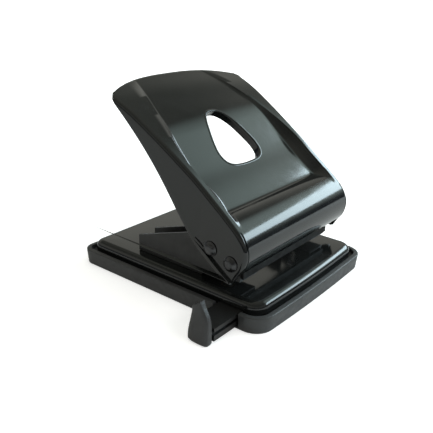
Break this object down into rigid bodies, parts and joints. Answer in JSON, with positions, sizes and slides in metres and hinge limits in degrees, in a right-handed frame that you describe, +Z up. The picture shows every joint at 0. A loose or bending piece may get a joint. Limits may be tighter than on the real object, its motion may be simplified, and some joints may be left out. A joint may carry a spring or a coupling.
{
  "type": "two-hole paper punch",
  "caption": "Desk paper punch with a broad windowed lever handle over sprung punch pins, on a steel base with a chip tray and a sliding paper guide.",
  "frame": {"origin": "on the desk, under the middle of the chip tray", "axes": "+X along the handle's hinge towards the side away from the paper guide, +Y from the paper slot's open front to the handle's free end, +Z up"},
  "size_m": [0.1508, 0.1479, 0.1224],
  "materials": {
    "black_enamel": "gloss",
    "black_satin": "satin",
    "tray_plastic": "matt",
    "guide_plastic": "satin",
    "ground_steel": "ground",
    "zinc_plate": "satin",
    "sintered_bronze": "satin",
    "spring_steel": "drawn",
    "blackened_steel": "blackened"
  },
  "bodies": {
    "tray": {"chip_tray": "tray_plastic"},
    "base": {"base_plate": "black_enamel", "throat_strip": "black_satin", "guide_rail_front": "zinc_plate", "guide_rail_rear": "zinc_plate", "left_bracket": "black_satin", "left_punch_guide": "sintered_bronze", "left_die": "ground_steel", "left_return_spring": "spring_steel", "left_bracket_rivet_front": "blackened_steel", "left_bracket_rivet_rear": "blackened_steel", "right_bracket": "black_satin", "right_punch_guide": "sintered_bronze", "right_die": "ground_steel", "right_return_spring": "spring_steel", "right_bracket_rivet_front": "blackened_steel", "right_bracket_rivet_rear": "blackened_steel"},
    "handle": {"handle": "black_enamel", "pivot_shaft": "blackened_steel", "drive_shaft": "blackened_steel", "left_pivot_spacer": "guide_plastic", "right_pivot_spacer": "guide_plastic"},
    "left_pin": {"left_punch_pin": "ground_steel", "left_pin_collar": "zinc_plate"},
    "right_pin": {"right_punch_pin": "ground_steel", "right_pin_collar": "zinc_plate"},
    "paper_guide": {"guide_bar": "guide_plastic", "guide_stop": "guide_plastic"}
  },
  "joints": [
    {"name": "tray_opening", "type": "hinge", "parent": "tray", "child": "base", "pos_m": [0, 0.07, 0.0096], "axis": [-1, 0, 0], "range_deg": [0, 50]},
    {"name": "handle_press", "type": "hinge", "parent": "base", "child": "handle", "pos_m": [0, -0.0489, 0.0365], "axis": [-1, 0, 0], "range_deg": [0, 28], "stiffness_Nm_per_rad": 0.8, "springref_deg": -20.05},
    {"name": "left_pin_stroke", "type": "slide", "parent": "base", "child": "left_pin", "axis": [0, 0, -1], "range_m": [0, 0.0074], "deforming": ["left_return_spring"]},
    {"name": "right_pin_stroke", "type": "slide", "parent": "base", "child": "right_pin", "axis": [0, 0, -1], "range_m": [0, 0.0074], "deforming": ["right_return_spring"]},
    {"name": "guide_slide", "type": "slide", "parent": "base", "child": "paper_guide", "axis": [-1, 0, 0], "range_m": [-0.019, 0.066]}
  ],
  "couplings": [
    {"joint": "left_pin_stroke", "follows": "handle_press", "m_per_rad": 0.015},
    {"joint": "right_pin_stroke", "follows": "handle_press", "m_per_rad": 0.015}
  ]
}
